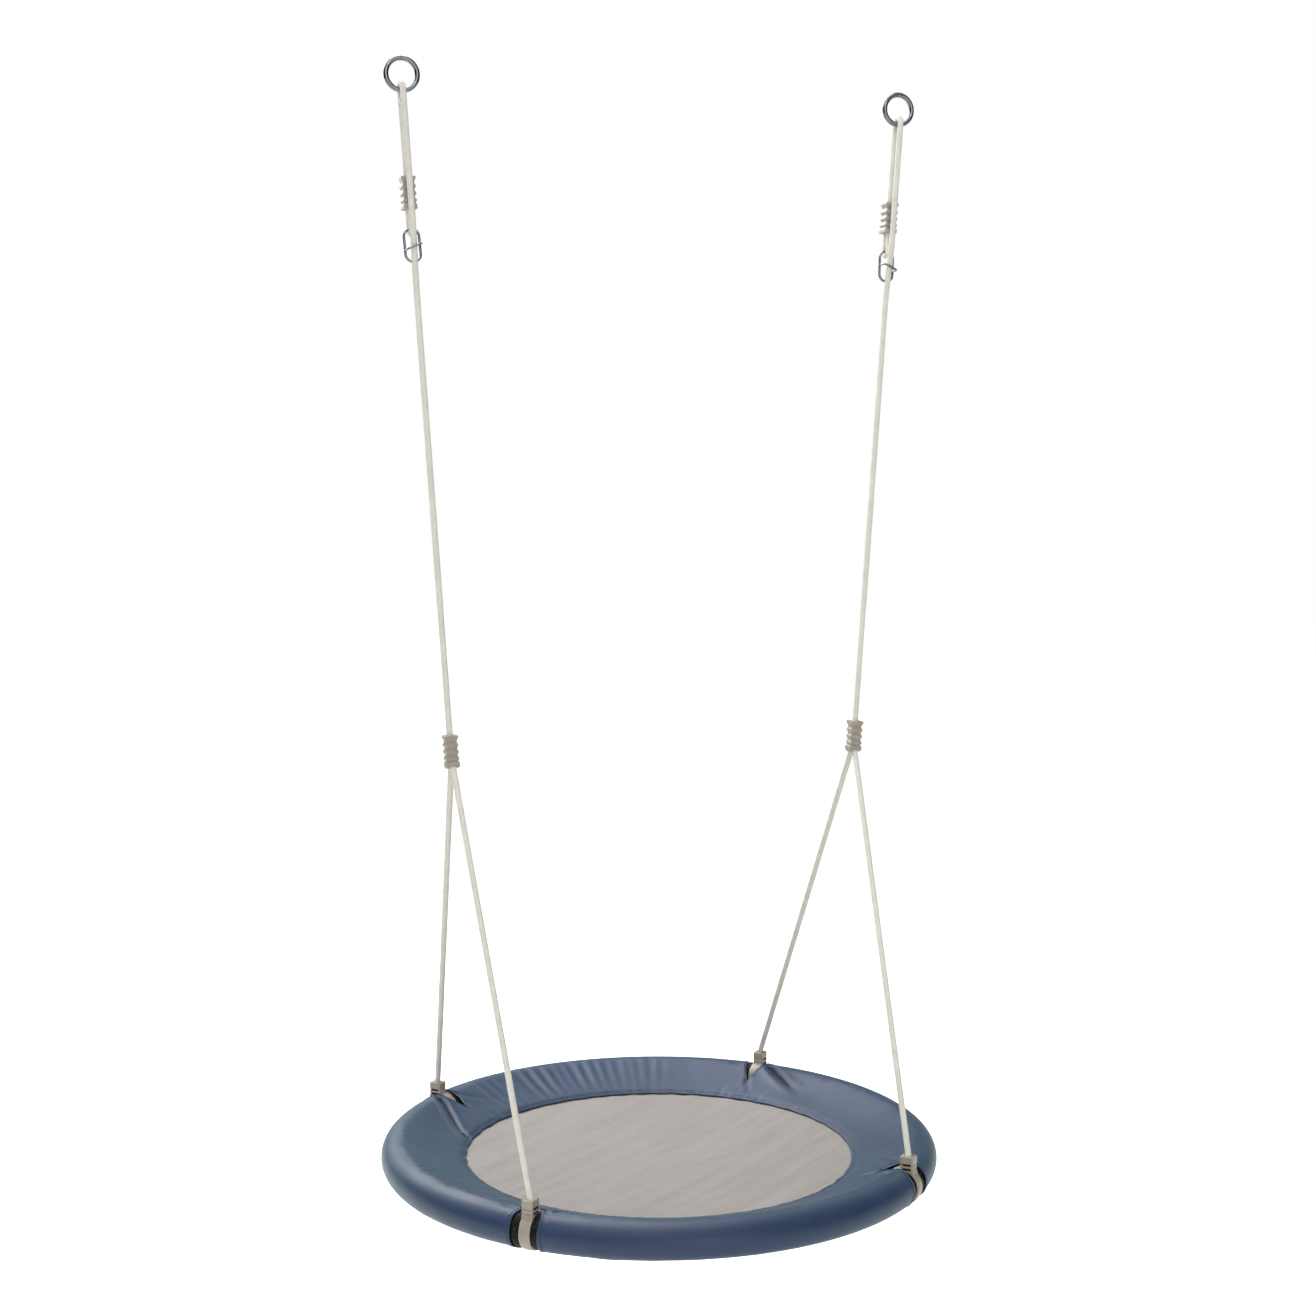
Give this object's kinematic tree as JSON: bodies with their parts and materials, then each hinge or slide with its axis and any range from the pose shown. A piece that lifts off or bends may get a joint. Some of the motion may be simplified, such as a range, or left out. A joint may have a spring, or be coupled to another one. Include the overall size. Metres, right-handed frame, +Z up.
{
  "type": "saucer nest swing",
  "caption": "Round nest swing: padded ring with a fabric cover and mesh seat, hung by forked ropes with clamps and height adjusters from metal rings.",
  "frame": {"origin": "the middle of the straight line between the centres of the two hanging rings", "axes": "+Z up, X through the two hanging rings (the crossbeam's direction), -Y the front; the seat swings along Y"},
  "size_m": [0.9, 0.9, 1.7448],
  "materials": {
    "chrome": "polished",
    "rope": "matte",
    "clamp_plastic": "satin",
    "steel_tube": "satin",
    "foam": "matte",
    "cover_fabric": "satin",
    "mesh_fabric": "matte",
    "webbing": "matte"
  },
  "bodies": {
    "rings": {"ring_left": "chrome", "ring_right": "chrome"},
    "rope_bights": {"rope_bight_left": "rope", "rope_bight_right": "rope"},
    "hanger_left": {"main_rope_left": "rope", "adjuster_rope_left": "rope", "adjuster_clamp_left_outer": "clamp_plastic", "adjuster_clamp_left_inner": "clamp_plastic", "adjuster_link_left": "chrome"},
    "hanger_right": {"main_rope_right": "rope", "adjuster_rope_right": "rope", "adjuster_clamp_right_outer": "clamp_plastic", "adjuster_clamp_right_inner": "clamp_plastic", "adjuster_link_right": "chrome"},
    "fork_left": {"fork_clamp_left_front": "clamp_plastic", "fork_clamp_left_back": "clamp_plastic"},
    "fork_right": {"fork_clamp_right_front": "clamp_plastic", "fork_clamp_right_back": "clamp_plastic"},
    "seat": {"leg_rope_left_front": "rope", "leg_rope_left_back": "rope", "clip_left_front_outer": "clamp_plastic", "clip_left_front_inner": "clamp_plastic", "clip_left_back_outer": "clamp_plastic", "clip_left_back_inner": "clamp_plastic", "clip_right_front_outer": "clamp_plastic", "clip_right_front_inner": "clamp_plastic", "clip_right_back_outer": "clamp_plastic", "clip_right_back_inner": "clamp_plastic", "rim_tube_front": "steel_tube", "rim_tube_back": "steel_tube", "rim_tube_left": "steel_tube", "rim_tube_right": "steel_tube", "tube_snap_buttons": "steel_tube", "foam_sleeve_front": "foam", "foam_sleeve_back": "foam", "foam_sleeve_left": "foam", "foam_sleeve_right": "foam", "rim_cover": "cover_fabric", "seat_mat": "mesh_fabric", "mat_edge_webbing": "webbing"},
    "legs_right": {"leg_rope_right_front": "rope", "leg_rope_right_back": "rope"}
  },
  "joints": [
    {"name": "swing", "type": "hinge", "parent": "rings", "child": "rope_bights", "pos_m": [0, 0, -0.024], "axis": [1, 0, 0], "range_deg": [-45, 45]},
    {"name": "sway_left", "type": "hinge", "parent": "rope_bights", "child": "hanger_left", "pos_m": [-0.411, 0, -0.024], "axis": [0, 1, 0], "range_deg": [-8, 8]},
    {"name": "sway_right", "type": "hinge", "parent": "rope_bights", "child": "hanger_right", "pos_m": [0.411, 0, -0.024], "axis": [0, 1, 0], "range_deg": [-8, 8]},
    {"name": "level_left", "type": "hinge", "parent": "hanger_left", "child": "fork_left", "pos_m": [-0.3438, 0, -1.0025], "axis": [0, 1, 0], "range_deg": [-9.7, 9.7]},
    {"name": "level_right", "type": "hinge", "parent": "hanger_right", "child": "fork_right", "pos_m": [0.3438, 0, -1.0025], "axis": [0, 1, 0], "range_deg": [-9.7, 9.7]},
    {"name": "seat_tilt", "type": "hinge", "parent": "fork_left", "child": "seat", "pos_m": [-0.34133, 0, -1.03852], "axis": [1, 0, 0], "range_deg": [-15, 15]},
    {"name": "leg_tilt_right", "type": "hinge", "parent": "fork_right", "child": "legs_right", "pos_m": [0.34133, 0, -1.03852], "axis": [1, 0, 0], "range_deg": [-15, 15]}
  ],
  "couplings": [
    {"joint": "sway_right", "follows": "sway_left", "ratio": 1},
    {"joint": "level_left", "follows": "sway_left", "ratio": -1.1955},
    {"joint": "level_right", "follows": "sway_left", "ratio": -1.1955},
    {"joint": "leg_tilt_right", "follows": "seat_tilt", "ratio": 1}
  ]
}
